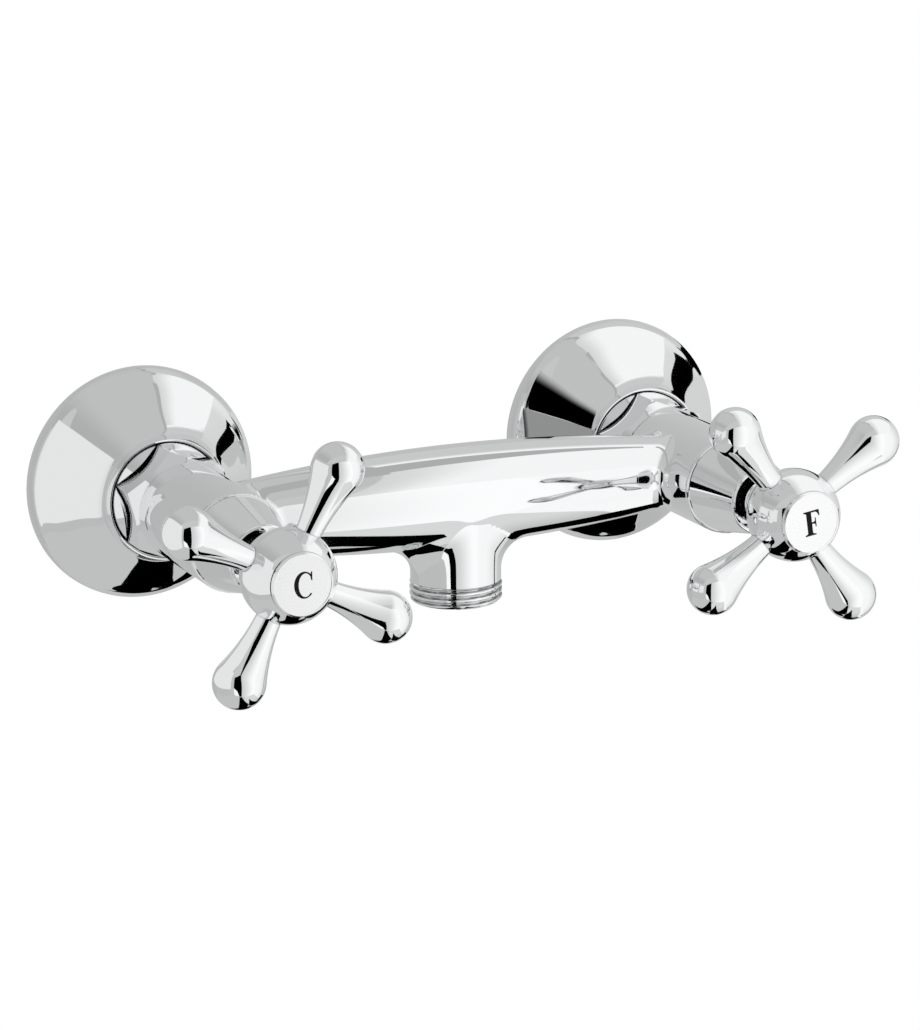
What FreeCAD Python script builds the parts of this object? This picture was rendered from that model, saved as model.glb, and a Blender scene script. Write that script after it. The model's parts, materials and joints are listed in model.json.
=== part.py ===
import FreeCAD, Part
import os
import re
import Sketcher
from FreeCAD import Placement, Rotation, Vector

# A two-handle wall shower mixer in millimetres. The wall is the plane y = 0, the front looks
# towards -Y and +Z is up. The hot side is at -X and the cold side at +X. Each turned piece is
# drawn about its own Z axis, which is the distance out from the wall, and is then turned to -Y.

# Driving dimensions. Names of lengths along an inlet axis end in length, depth, thick or gap.
SIZES = {
    # whole mixer
    "inlet_spacing": 150.0,
    "thread_clearance": 0.05,
    "cut_overrun": 2.0,
    # eccentric wall union
    "tail_radius": 10.48,
    "tail_depth": 22.0,
    "tail_bore_radius": 5.5,
    "tail_lead_length": 5.0,
    "tail_offset": 5.0,
    "oblique_length": 8.0,
    "union_radius": 13.22,
    "union_bore_radius": 8.5,
    "union_reach_length": 31.6,
    # bell escutcheon
    "bell_radius": 34.0,
    "bell_depth": 24.7,
    "bell_wall": 1.0,
    "bell_rim_length": 0.8,
    "bell_rim_round": 2.3,
    "bell_neck_radius": 17.5,
    "bell_lip_round": 0.2,
    "bell_mouth_depth": 2.8,
    "bell_plate_thick": 1.0,
    # union nut, gasket and inlet bush
    "bell_nut_gap": 0.3,
    "nut_mouth_gap": 0.3,
    "nut_flats": 28.8,
    "nut_flange_thick": 2.5,
    "nut_face_radius": 13.7,
    "nut_dome_depth": 4.2,
    "nut_dome_round": 7.0,
    "nut_body_gap": 0.5,
    "gasket_thick": 2.0,
    "gasket_radius": 12.9,
    "gasket_bore_radius": 6.5,
    "bush_flange_radius": 12.4,
    "bush_flange_thick": 3.0,
    "bush_shank_radius": 8.33,
    "bush_bore_radius": 5.5,
    # cast body
    "arm_radius": 14.0,
    "arm_length": 39.4,
    "arm_edge_round": 0.35,
    "bridge_setback_length": 15.4,
    "bridge_mid_radius": 14.5,
    "bridge_end_radius": 9.0,
    "bridge_arm_round": 3.6,
    "outlet_radius": 13.22,
    "outlet_neck_radius": 12.95,
    "outlet_depth": 30.5,
    "outlet_thread_length": 6.3,
    "outlet_end_chamfer": 1.7,
    "outlet_bore_radius": 8.5,
    "outlet_bridge_round": 9.0,
    "bush_socket_gap": 0.3,
    "throat_radius": 5.5,
    "throat_length": 4.7,
    "seat_reach_length": 28.7,
    "seat_lip_width": 1.5,
    "seat_lip_depth": 1.6,
    "chamber_radius": 9.6,
    "cross_bore_radius": 5.4,
    "cross_bore_shift_length": 3.2,
    # headwork
    "headwork_thread_radius": 10.43,
    "headwork_thread_length": 11.5,
    "headwork_socket_gap": 0.5,
    "headwork_nose_radius": 9.2,
    "headwork_nose_length": 5.0,
    "headwork_washer_thick": 1.5,
    "headwork_washer_radius": 12.1,
    "headwork_hex_flats": 19.0,
    "headwork_hex_thick": 4.0,
    "headwork_barrel_radius": 8.5,
    "headwork_barrel_length": 6.5,
    "jumper_flats": 11.0,
    "jumper_clearance": 0.04,
    "collar_radius": 5.4,
    "collar_clearance": 0.08,
    "collar_depth": 6.7,
    "collar_thick": 3.0,
    "collar_rear_gap": 0.25,
    "collar_front_gap": 0.05,
    # spindle with its rings and clip
    "stem_radius": 4.5,
    "stem_clearance": 0.04,
    "spindle_thread_radius": 4.0,
    "spindle_thread_clearance": 0.1,
    "spindle_thread_length": 9.3,
    "ring_groove_radius": 3.2,
    "ring_groove_length": 1.9,
    "ring_clearance": 0.03,
    "first_ring_length": 3.0,
    "ring_pitch_length": 4.5,
    "clip_gap": 0.1,
    "clip_thick": 1.0,
    "clip_radius": 6.2,
    "clip_groove_radius": 3.8,
    "clip_clearance": 0.05,
    "clip_mouth": 5.0,
    "shoulder_lead_length": 7.0,
    "square_flats": 6.2,
    "square_length": 11.6,
    "square_clearance": 0.05,
    "spindle_tap_depth": 9.0,
    # jumper, washer and its screw
    "seat_gap": 0.05,
    "seat_washer_radius": 7.4,
    "seat_washer_thick": 3.0,
    "jumper_flange_thick": 2.0,
    "jumper_stem_length": 12.1,
    "jumper_tap_depth": 9.0,
    "washer_screw_radius": 2.0,
    "washer_screw_clearance": 0.05,
    "washer_screw_head_radius": 3.2,
    "washer_screw_head_thick": 1.4,
    "washer_screw_grip_length": 3.4,
    # bonnet cover
    "cover_base_radius": 13.8,
    "cover_band_length": 0.9,
    "cover_band_step": 0.35,
    "cover_length": 20.3,
    "cover_lip_radius": 9.7,
    "cover_lip_round": 0.5,
    "cover_wall": 1.2,
    "cover_mouth_radius": 8.75,
    "cover_web_depth": 10.0,
    "cover_web_thick": 2.5,
    # handle hub and arms
    "hub_radius": 13.0,
    "hub_neck_radius": 7.2,
    "hub_neck_lap_length": 3.0,
    "hub_neck_round": 2.5,
    "hub_cross_length": 19.3,
    "hub_face_length": 9.5,
    "hub_recess_radius": 5.6,
    "hub_recess_depth": 12.8,
    "hub_stem_clearance": 0.25,
    "square_end_gap": 0.4,
    "arm_seat_radius": 12.2,
    "arm_root_radius": 3.5,
    "arm_root_clearance": 0.05,
    "arm_flare_round": 56.0,
    "arm_ball_radius": 7.2,
    "arm_reach": 31.0,
    "arm_stub_radius": 2.45,
    "arm_stub_length": 5.0,
    "arm_hole_depth": 5.4,
    # handle screw and index cap
    "handle_screw_radius": 2.5,
    "handle_screw_clearance": 0.05,
    "handle_screw_hole_clearance": 0.15,
    "handle_screw_grip_length": 7.0,
    "handle_screw_head_radius": 4.4,
    "handle_screw_head_thick": 3.0,
    "handle_screw_key_flats": 4.0,
    "handle_screw_key_depth": 2.0,
    "cap_radius": 8.73,
    "cap_thick": 1.25,
    "cap_bevel": 0.45,
    "cap_rim_width": 0.35,
    "cap_dish_depth": 0.15,
    "cap_plug_radius": 5.55,
    "cap_plug_length": 4.0,
}

# Turns about an inlet axis in degrees from +X towards +Z, as photographed.
ANGLES = {
    "nut_angle": 40.0,
    "hot_handle_angle": 62.2,
    "cold_handle_angle": 36.3,
}

# Where the bell's convex shoulder runs into its hollow flare, as shares of the way from rim to neck.
BELL_JOINT_INWARD_SHARE = 0.472
BELL_JOINT_OUTWARD_SHARE = 0.372
# The shoulder's own radius as a share of the way from rim to neck.
BELL_SHOULDER_SHARE = 1.972

ARM_COUNT = 4
HEX_SIDES = 6
FULL_TURN = 360

# What a sketch calls the points of a curve, and its own two axes, whose start is its origin.
START_POINT, END_POINT, CENTRE_POINT = 1, 2, 3
CROSS_AXIS, UP_AXIS = -1, -2

# Stations along an inlet axis, as distances out from the wall, each one built on the one before.
UNION_FACE = "union_reach_length"
GASKET_FACE = f"({UNION_FACE} + gasket_thick)"
BUSH_FACE = f"({GASKET_FACE} + bush_flange_thick)"
NUT_FRONT = f"({BUSH_FACE} + nut_flange_thick)"
MOUTH_FLOOR = "(bell_depth - bell_mouth_depth)"
NUT_REAR = f"({MOUTH_FLOOR} + bell_nut_gap)"
BODY_REAR = f"({NUT_FRONT} + nut_body_gap)"
BRIDGE_AXIS = f"({BODY_REAR} + bridge_setback_length)"
BODY_FRONT = f"({BODY_REAR} + arm_length)"
SEAT_FACE = f"({BODY_FRONT} - seat_reach_length)"
BUSH_END = f"({SEAT_FACE} - throat_length)"
THREAD_REAR = f"({BODY_FRONT} - headwork_thread_length)"
NOSE_REAR = f"({THREAD_REAR} - headwork_nose_length)"
COLLAR_REAR = f"({BODY_FRONT} - collar_depth)"
COLLAR_FRONT = f"({COLLAR_REAR} + collar_thick)"
COLLAR_STOP = f"({COLLAR_FRONT} + collar_front_gap)"
HEX_REAR = f"({BODY_FRONT} + headwork_washer_thick)"
HEX_FRONT = f"({HEX_REAR} + headwork_hex_thick)"
HEADWORK_TOP = f"({HEX_FRONT} + headwork_barrel_length)"
SHOULDER = f"({HEADWORK_TOP} + shoulder_lead_length)"
SQUARE_END = f"({SHOULDER} + square_length)"
SOCKET_END = f"({SQUARE_END} + square_end_gap)"
CROSS_PLANE = f"({SHOULDER} + hub_cross_length)"
HUB_FACE = f"({CROSS_PLANE} + hub_face_length)"
HUB_REAR = f"({SHOULDER} - hub_neck_lap_length)"
RECESS_FLOOR = f"({HUB_FACE} - hub_recess_depth)"
COVER_FRONT = f"({BODY_FRONT} + cover_length)"
WASHER_REAR = f"({SEAT_FACE} + seat_gap)"
JUMPER_REAR = f"({WASHER_REAR} + seat_washer_thick)"
JUMPER_STEM = f"({JUMPER_REAR} + jumper_flange_thick)"
JUMPER_FRONT = f"({JUMPER_STEM} + jumper_stem_length)"

doc = FreeCAD.newDocument("ShowerMixer")
sheet = doc.addObject("Spreadsheet::Sheet", "Sizes")
for row, (name, number) in enumerate({**SIZES, **ANGLES}.items(), start=1):
    sheet.set(f"A{row}", name)
    sheet.set(f"B{row}", str(number))
    sheet.setAlias(f"B{row}", name)
doc.recompute()

pieces = []


def bound(text):
    """The expression with the sheet's name before each size that it holds."""
    return re.sub(r"[a-z]\w*", lambda word: sheet_word(word.group()), text)


def sheet_word(word):
    return "Sizes." + word if word in SIZES or word in ANGLES else word


def value(text):
    """What an expression comes to now; a leading ~ only marks a first guess."""
    return float(sheet.evalExpression(bound(text.lstrip("~"))))


def bind(owner, path, text):
    owner.setExpression(path, bound(text))


def new_body(label):
    body = doc.addObject("PartDesign::Body", label)
    body.Label = label
    pieces.append(body)
    return body


def origin_of(body, role):
    return next(item for item in body.Origin.OriginFeatures if item.Role == role)


def attach(body, feature, role, lift=("0", "0", "0")):
    """Lays a sketch or primitive on one of its body's origin planes, shifted by lift."""
    feature.AttachmentSupport = [(origin_of(body, role), "")]
    feature.MapMode = "FlatFace"
    for axis, text in zip("xyz", lift):
        if text != "0":
            bind(feature, f"AttachmentOffset.Base.{axis}", text)


def line_to(across, along):
    return {"to": (across, along)}


def arc_to(across, along, radius, side=1, smooth=False, centre=None):
    """An arc to a point; side tells on which hand its centre lies, smooth joins it tangentially."""
    return {"to": (across, along), "radius": radius, "side": side, "smooth": smooth, "centre": centre}


def arc_through(start, end, step):
    radius = value(step["radius"])
    middle = (start + end) * 0.5
    if step["centre"]:
        centre = Vector(value(step["centre"][0]), value(step["centre"][1]), 0)
    else:
        chord = end - start
        rise = max(radius * radius - chord.Length * chord.Length / 4, 0) ** 0.5
        normal = Vector(-chord.y, chord.x, 0).normalize()
        centre = middle + normal * rise * step["side"]
    outward = (middle - centre).normalize()
    return Part.Arc(start, centre + outward * radius, end)


def outline(body, name, role, steps, lift=("0", "0", "0")):
    """A closed sketch whose corners, radii and centres are bound to the sheet."""
    sketch = body.newObject("Sketcher::SketchObject", name)
    attach(body, sketch, role, lift)
    points = [Vector(value(step["to"][0]), value(step["to"][1]), 0) for step in steps]
    first_end = []
    last_end = []
    for index, step in enumerate(steps):
        start, end = points[index - 1], points[index]
        curve = arc_through(start, end, step) if "radius" in step else Part.LineSegment(start, end)
        sketch.addGeometry(curve, False)
        ends = [sketch.getPoint(index, point) for point in (START_POINT, END_POINT)]
        turned = (ends[0] - start).Length > (ends[1] - start).Length
        first_end.append(END_POINT if turned else START_POINT)
        last_end.append(START_POINT if turned else END_POINT)

    rules = []
    bindings = {}

    def dimension(text, *rule):
        bindings[len(rules)] = text
        rules.append(Sketcher.Constraint(*rule, value(text)))

    def hold(texts, geometry, end):
        for kind, axis, text in zip(("DistanceX", "DistanceY"), (UP_AXIS, CROSS_AXIS), texts):
            if text == "0":
                rules.append(Sketcher.Constraint("PointOnObject", geometry, end, axis))
            elif not text.startswith("~"):
                dimension(text, kind, CROSS_AXIS, START_POINT, geometry, end)

    for index, step in enumerate(steps):
        follower = (index + 1) % len(steps)
        joint = "Tangent" if steps[follower].get("smooth") else "Coincident"
        rules.append(Sketcher.Constraint(joint, index, last_end[index], follower, first_end[follower]))
        hold(step["to"], index, last_end[index])
        if "radius" in step and not step["radius"].startswith("~"):
            dimension(step["radius"], "Radius", index)
        if step.get("centre"):
            hold(step["centre"], index, CENTRE_POINT)
    sketch.addConstraint(rules)
    for index, text in bindings.items():
        bind(sketch, f"Constraints[{index}]", text)
    return sketch


def circle_sketch(body, name, radius, lift):
    """A circle about the body's Z axis, shifted by lift."""
    sketch = body.newObject("Sketcher::SketchObject", name)
    attach(body, sketch, "XY_Plane", lift)
    sketch.addGeometry(Part.Circle(Vector(0, 0, 0), Vector(0, 0, 1), value(radius)), False)
    sketch.addConstraint(Sketcher.Constraint("Coincident", 0, CENTRE_POINT, CROSS_AXIS, START_POINT))
    size_rule = sketch.addConstraint(Sketcher.Constraint("Radius", 0, value(radius)))
    bind(sketch, f"Constraints[{size_rule}]", radius)
    return sketch


def turn(body, kind, name, steps, axis="V_Axis", role="XZ_Plane", lift=("0", "0", "0")):
    """A Revolution or Groove of an outline about one of its sketch's axes."""
    sketch = outline(body, name + "Profile", role, steps, lift)
    feature = body.newObject("PartDesign::" + kind, name)
    feature.Profile = sketch
    feature.ReferenceAxis = (sketch, [axis])
    feature.Angle = FULL_TURN
    return feature


def cylinder(body, kind, name, radius, length, role="XY_Plane", lift=("0", "0", "0")):
    feature = body.newObject(f"PartDesign::{kind}Cylinder", name)
    attach(body, feature, role, lift)
    bind(feature, "Radius", radius)
    bind(feature, "Height", length)
    return feature


def hexagon(body, kind, name, flats, start, length):
    feature = body.newObject(f"PartDesign::{kind}Prism", name)
    attach(body, feature, "XY_Plane", ("0", "0", start))
    feature.Polygon = HEX_SIDES
    bind(feature, "Circumradius", f"({flats}) / sqrt(3)")
    bind(feature, "Height", length)
    return feature


def square_sketch(body, name, flats, start):
    half = f"({flats}) / 2"
    corners = [(half, half), ("-" + half, half), ("-" + half, "-" + half), (half, "-" + half)]
    steps = [line_to(across, along) for across, along in corners]
    return outline(body, name, "XY_Plane", steps, ("0", "0", start))


def extrude(body, kind, name, sketch, length, reverse=False):
    feature = body.newObject("PartDesign::" + kind, name)
    feature.Profile = sketch
    bind(feature, "Length", length)
    feature.Reversed = reverse
    return feature


def edges_where(feature, test):
    """Names of the edges of which every sampled point passes a test."""
    samples = 5
    return [
        f"Edge{index}"
        for index, edge in enumerate(feature.Shape.Edges, start=1)
        if all(test(point) for point in edge.discretize(samples))
    ]


def round_edges(body, kind, name, test, size):
    """A Fillet or Chamfer on the chosen edges of the body so far."""
    doc.recompute()
    base = body.Tip
    feature = body.newObject("PartDesign::" + kind, name)
    feature.Base = (base, edges_where(base, test))
    bind(feature, "Radius" if kind == "Fillet" else "Size", size)
    return feature


def near(first, second):
    """Whether two lengths agree to a small share of the arm's radius."""
    closeness_share = 0.0005
    return abs(first - second) < closeness_share * value("arm_radius")


def place(body, side, turn_text="0"):
    """Turns a piece from its own Z axis to the wall's outward direction at one inlet."""
    spin = Rotation(Vector(0, 0, 1), value(turn_text))
    body.Placement = Placement(Vector(0, 0, 0), Rotation(Vector(1, 0, 0), FULL_TURN / 4).multiply(spin))
    bind(body, "Placement.Base.x", f"{side['sign']} * inlet_spacing / 2")


def ring_steps(outer, inner, start, end):
    """Corners of a plain ring's half section."""
    return [line_to(inner, start), line_to(outer, start), line_to(outer, end), line_to(inner, end)]


def wall_union(side):
    body = new_body(side["name"] + "_wall_union")
    oblique = "(tail_lead_length + oblique_length)"
    drop = "-tail_offset"
    cylinder(body, "Additive", "Tail", "tail_radius", "tail_depth + tail_lead_length",
             lift=("0", drop, "-tail_depth"))
    cylinder(body, "Additive", "Front", "union_radius", f"{UNION_FACE} - {oblique}",
             lift=("0", "0", oblique))
    lower = circle_sketch(body, "ObliqueRear", "tail_radius", ("0", drop, "tail_lead_length"))
    upper = circle_sketch(body, "ObliqueFront", "union_radius", ("0", "0", oblique))
    loft = body.newObject("PartDesign::AdditiveLoft", "Oblique")
    loft.Profile = lower
    loft.Sections = [upper]
    cylinder(body, "Subtractive", "TailBore", "tail_bore_radius", f"tail_depth + {oblique}",
             lift=("0", drop, "-tail_depth"))
    cylinder(body, "Subtractive", "FrontBore", "union_bore_radius", f"{UNION_FACE} - {oblique}",
             lift=("0", "0", oblique))
    place(body, side)


def escutcheon(side):
    body = new_body(side["name"] + "_escutcheon")
    rim_top = "(bell_rim_length + bell_rim_round)"
    rim_edge = "(bell_radius - bell_rim_round)"
    joint_radius = f"{rim_edge} - {BELL_JOINT_INWARD_SHARE} * ({rim_edge} - bell_neck_radius)"
    joint_out = f"{rim_top} + {BELL_JOINT_OUTWARD_SHARE} * (bell_depth - {rim_top})"
    shoulder_round = f"{BELL_SHOULDER_SHARE} * ({rim_edge} - bell_neck_radius)"
    bell = turn(body, "Revolution", "Bell", [
        line_to("0", "0"),
        line_to("bell_radius", "0"),
        line_to("bell_radius", "bell_rim_length"),
        arc_to(rim_edge, rim_top, "bell_rim_round"),
        arc_to(joint_radius, joint_out, shoulder_round),
        arc_to("bell_neck_radius", "bell_depth", "~" + shoulder_round, side=-1, smooth=True),
        line_to("0", "bell_depth"),
    ])
    doc.recompute()
    shell = body.newObject("PartDesign::Thickness", "Shell")
    rear = [f"Face{index}" for index, face in enumerate(bell.Shape.Faces, start=1)
            if near(face.BoundBox.ZMax, 0)]
    shell.Base = (bell, rear)
    bind(shell, "Value", "bell_wall")
    shell.Reversed = True
    shell.Join = "Intersection"
    cylinder(body, "Subtractive", "Mouth", "nut_flats / sqrt(3) + nut_mouth_gap",
             "bell_mouth_depth + cut_overrun", lift=("0", "0", MOUTH_FLOOR))
    cylinder(body, "Additive", "Plate", "bell_neck_radius", "bell_plate_thick",
             lift=("0", "0", f"{MOUTH_FLOOR} - bell_plate_thick"))
    cylinder(body, "Subtractive", "Hole", "union_radius + thread_clearance", "bell_depth + cut_overrun")
    round_edges(body, "Fillet", "Lip", lambda point: near(point.z, value("bell_depth")), "bell_lip_round")
    place(body, side)


def union_nut(side):
    body = new_body(side["name"] + "_union_nut")
    hexagon(body, "Additive", "Hexagon", "nut_flats", NUT_REAR, f"{NUT_FRONT} - {NUT_REAR}")
    outside = "(nut_flats / sqrt(3) + cut_overrun)"
    turn(body, "Groove", "Dome", [
        line_to("nut_face_radius", f"{NUT_FRONT} + cut_overrun"),
        line_to("nut_face_radius", NUT_FRONT),
        arc_to("nut_flats / sqrt(3)", f"{NUT_FRONT} - nut_dome_depth", "nut_dome_round"),
        line_to(outside, f"{NUT_FRONT} - nut_dome_depth"),
        line_to(outside, f"{NUT_FRONT} + cut_overrun"),
    ])
    cylinder(body, "Subtractive", "Thread", "union_radius + thread_clearance",
             f"{BUSH_FACE} - {NUT_REAR} + cut_overrun", lift=("0", "0", f"{NUT_REAR} - cut_overrun"))
    cylinder(body, "Subtractive", "Eye", "bush_shank_radius + thread_clearance",
             f"{NUT_FRONT} - {NUT_REAR} + cut_overrun", lift=("0", "0", NUT_REAR))
    place(body, side, "nut_angle")


def union_gasket(side):
    body = new_body(side["name"] + "_union_gasket")
    turn(body, "Revolution", "Ring", ring_steps(
        "gasket_radius", "gasket_bore_radius", UNION_FACE, GASKET_FACE))
    place(body, side)


def inlet_bush(side):
    body = new_body(side["name"] + "_inlet_bush")
    turn(body, "Revolution", "Bush", [
        line_to("bush_bore_radius", GASKET_FACE),
        line_to("bush_flange_radius", GASKET_FACE),
        line_to("bush_flange_radius", BUSH_FACE),
        line_to("bush_shank_radius", BUSH_FACE),
        line_to("bush_shank_radius", BUSH_END),
        line_to("bush_bore_radius", BUSH_END),
    ])
    place(body, side)


def arm_waterway(body, sign):
    """The stepped bore of one arm: bush socket, throat, seat, chamber and headwork socket."""
    socket = f"({BUSH_END} + bush_socket_gap)"
    chamber_front = f"({THREAD_REAR} - headwork_socket_gap)"
    chamber_rear = f"({SEAT_FACE} - seat_lip_depth)"
    bush_hole = "(bush_shank_radius + thread_clearance)"
    headwork_hole = "(headwork_thread_radius + thread_clearance)"
    stations = [
        ("0", f"({BODY_REAR} - cut_overrun)"),
        (bush_hole, f"({BODY_REAR} - cut_overrun)"),
        (bush_hole, socket),
        ("throat_radius", socket),
        ("throat_radius", SEAT_FACE),
        ("throat_radius + seat_lip_width", SEAT_FACE),
        ("throat_radius + seat_lip_width", chamber_rear),
        ("chamber_radius", chamber_rear),
        ("chamber_radius", chamber_front),
        (headwork_hole, chamber_front),
        (headwork_hole, f"({BODY_FRONT} + cut_overrun)"),
        ("0", f"({BODY_FRONT} + cut_overrun)"),
    ]
    name = "HotWaterway" if sign < 0 else "ColdWaterway"
    steps = [line_to(across, f"{BRIDGE_AXIS} - {out}") for across, out in stations]
    turn(body, "Groove", name, steps, role="XY_Plane", lift=(f"{sign} * inlet_spacing / 2", "0", "0"))


def mixer_body():
    """The casting: a lens-shaped bridge, two straight arms and the outlet neck, blended and cored."""
    body = new_body("mixer_body")
    bind(body, "Placement.Base.y", f"-{BRIDGE_AXIS}")
    half = "inlet_spacing / 2"
    bulge = "(bridge_mid_radius - bridge_end_radius)"
    turn(body, "Revolution", "Bridge", [
        line_to(f"-{half}", "0"),
        line_to(half, "0"),
        line_to(half, "bridge_end_radius"),
        arc_to(f"-{half}", "bridge_end_radius", f"(({half})^2 + {bulge}^2) / (2 * {bulge})"),
    ], axis="H_Axis")
    for name, sign in (("HotArm", "-"), ("ColdArm", "")):
        cylinder(body, "Additive", name, "arm_radius", "arm_length", "XZ_Plane",
                 (sign + half, "0", "-bridge_setback_length"))
    cylinder(body, "Additive", "OutletNeck", "outlet_neck_radius", "outlet_depth",
             lift=("0", "0", "-outlet_depth"))

    half_spacing = value(half)
    arm_radius = value("arm_radius")

    def on_arm(point):
        beside = ((abs(point.x) - half_spacing) ** 2 + point.z ** 2) ** 0.5
        return near(beside, arm_radius)

    def arm_end(point):
        return near(point.y, value("bridge_setback_length")) or near(
            point.y, value("bridge_setback_length - arm_length"))

    def bridge_meets_arm(point):
        return on_arm(point) and not arm_end(point) and abs(point.x) < half_spacing

    def outlet_end(point):
        return near(point.z, -value("outlet_depth"))

    def outlet_meets_bridge(point):
        from_axis = (point.x ** 2 + point.y ** 2) ** 0.5
        return near(from_axis, value("outlet_neck_radius")) and not outlet_end(point)

    round_edges(body, "Fillet", "ArmBlend", bridge_meets_arm, "bridge_arm_round")
    round_edges(body, "Fillet", "OutletBlend", outlet_meets_bridge, "outlet_bridge_round")
    cylinder(body, "Additive", "OutletThread", "outlet_radius", "outlet_thread_length",
             lift=("0", "0", "-outlet_depth"))
    round_edges(body, "Chamfer", "OutletChamfer", outlet_end, "outlet_end_chamfer")
    round_edges(body, "Fillet", "ArmEdges", lambda point: on_arm(point) and arm_end(point), "arm_edge_round")
    for sign in (-1, 1):
        arm_waterway(body, sign)
    cylinder(body, "Subtractive", "CrossBore", "cross_bore_radius", "inlet_spacing", "YZ_Plane",
             ("-cross_bore_shift_length", "0", f"-{half}"))
    cylinder(body, "Subtractive", "OutletBore", "outlet_bore_radius", "outlet_depth + cut_overrun",
             lift=("0", "0", "-outlet_depth - cut_overrun"))


def headwork_body(side):
    body = new_body(side["name"] + "_headwork_body")
    turn(body, "Revolution", "Insert", [
        line_to("0", NOSE_REAR),
        line_to("headwork_nose_radius", NOSE_REAR),
        line_to("headwork_nose_radius", THREAD_REAR),
        line_to("headwork_thread_radius", THREAD_REAR),
        line_to("headwork_thread_radius", HEX_REAR),
        line_to("headwork_barrel_radius", HEX_REAR),
        line_to("headwork_barrel_radius", HEADWORK_TOP),
        line_to("0", HEADWORK_TOP),
    ])
    hexagon(body, "Additive", "Hexagon", "headwork_hex_flats", HEX_REAR, "headwork_hex_thick")
    hexagon(body, "Subtractive", "Guide", "jumper_flats + 2 * jumper_clearance", NOSE_REAR,
            f"{COLLAR_REAR} - collar_rear_gap - {NOSE_REAR}")
    cylinder(body, "Subtractive", "CollarRoom", "collar_radius + collar_clearance",
             f"{COLLAR_STOP} - {NOSE_REAR}", lift=("0", "0", NOSE_REAR))
    cylinder(body, "Subtractive", "StemBore", "stem_radius + stem_clearance",
             f"{HEADWORK_TOP} - {NOSE_REAR} + cut_overrun", lift=("0", "0", NOSE_REAR))
    place(body, side)


def headwork_washer(side):
    body = new_body(side["name"] + "_headwork_washer")
    turn(body, "Revolution", "Ring", ring_steps(
        "headwork_washer_radius", "headwork_thread_radius + thread_clearance", BODY_FRONT, HEX_REAR))
    place(body, side)


def spindle(side):
    body = new_body(side["name"] + "_spindle")
    clip_rear = f"({HEADWORK_TOP} + clip_gap - clip_clearance)"
    clip_front = f"({HEADWORK_TOP} + clip_gap + clip_thick + clip_clearance)"
    steps = [
        line_to("0", f"{COLLAR_REAR} - spindle_thread_length"),
        line_to("spindle_thread_radius", f"{COLLAR_REAR} - spindle_thread_length"),
        line_to("spindle_thread_radius", COLLAR_REAR),
        line_to("collar_radius", COLLAR_REAR),
        line_to("collar_radius", COLLAR_FRONT),
        line_to("stem_radius", COLLAR_FRONT),
    ]
    for rear in ring_stations():
        steps += groove_steps("ring_groove_radius", rear, f"{rear} + ring_groove_length")
    steps += groove_steps("clip_groove_radius", clip_rear, clip_front)
    steps += [line_to("stem_radius", SHOULDER), line_to("0", SHOULDER)]
    turn(body, "Revolution", "Stem", steps)
    square = square_sketch(body, "SquareProfile", "square_flats", SHOULDER)
    extrude(body, "Pad", "Square", square, "square_length")
    cylinder(body, "Subtractive", "Tap", "handle_screw_radius + handle_screw_clearance",
             "spindle_tap_depth + cut_overrun", lift=("0", "0", f"{SQUARE_END} - spindle_tap_depth"))
    place(body, side, side["turn"])


def ring_stations():
    """Where the two ring grooves of the spindle begin."""
    first = f"({COLLAR_FRONT} + first_ring_length)"
    return first, f"({first} + ring_pitch_length)"


def groove_steps(radius, rear, front):
    """Corners of one groove in the spindle's stem."""
    corners = (("stem_radius", rear), (radius, rear), (radius, front), ("stem_radius", front))
    return [line_to(across, along) for across, along in corners]


def spindle_orings(side):
    group = doc.addObject("Part::Compound", side["name"] + "_spindle_orings")
    group.Label = side["name"] + "_spindle_orings"
    section = "((stem_radius + stem_clearance - ring_clearance - ring_groove_radius) / 2)"
    rings = []
    for index, rear in enumerate(ring_stations(), start=1):
        ring = doc.addObject("Part::Torus", f"{group.Label}_{index}")
        bind(ring, "Radius1", f"ring_groove_radius + {section}")
        bind(ring, "Radius2", section)
        bind(ring, "Placement.Base.z", f"{rear} + ring_groove_length / 2")
        rings.append(ring)
    group.Links = rings
    pieces.append(group)
    place(group, side)


def spindle_clip(side):
    body = new_body(side["name"] + "_spindle_clip")
    start = f"({HEADWORK_TOP} + clip_gap)"
    turn(body, "Revolution", "Ring", ring_steps(
        "clip_radius", "clip_groove_radius + clip_clearance", start, f"{start} + clip_thick"))
    half = "clip_mouth / 2"
    far = "(clip_radius + cut_overrun)"
    corners = (("0", "-" + half), (far, "-" + half), (far, half), ("0", half))
    steps = [line_to(across, along) for across, along in corners]
    mouth = outline(body, "MouthProfile", "XY_Plane", steps, ("0", "0", start))
    extrude(body, "Pocket", "Mouth", mouth, "clip_thick", reverse=True)
    place(body, side, side["turn"])


def jumper(side):
    body = new_body(side["name"] + "_jumper")
    cylinder(body, "Additive", "Flange", "seat_washer_radius", "jumper_flange_thick",
             lift=("0", "0", JUMPER_REAR))
    hexagon(body, "Additive", "Stem", "jumper_flats", JUMPER_STEM, "jumper_stem_length")
    cylinder(body, "Subtractive", "Thread", "spindle_thread_radius + spindle_thread_clearance",
             "jumper_tap_depth + cut_overrun", lift=("0", "0", f"{JUMPER_FRONT} - jumper_tap_depth"))
    cylinder(body, "Subtractive", "Tap", "washer_screw_radius + washer_screw_clearance",
             "washer_screw_grip_length + washer_screw_clearance", lift=("0", "0", JUMPER_REAR))
    place(body, side)


def seat_washer(side):
    body = new_body(side["name"] + "_seat_washer")
    turn(body, "Revolution", "Disc", ring_steps(
        "seat_washer_radius", "washer_screw_radius + washer_screw_clearance", WASHER_REAR, JUMPER_REAR))
    place(body, side)


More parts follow.
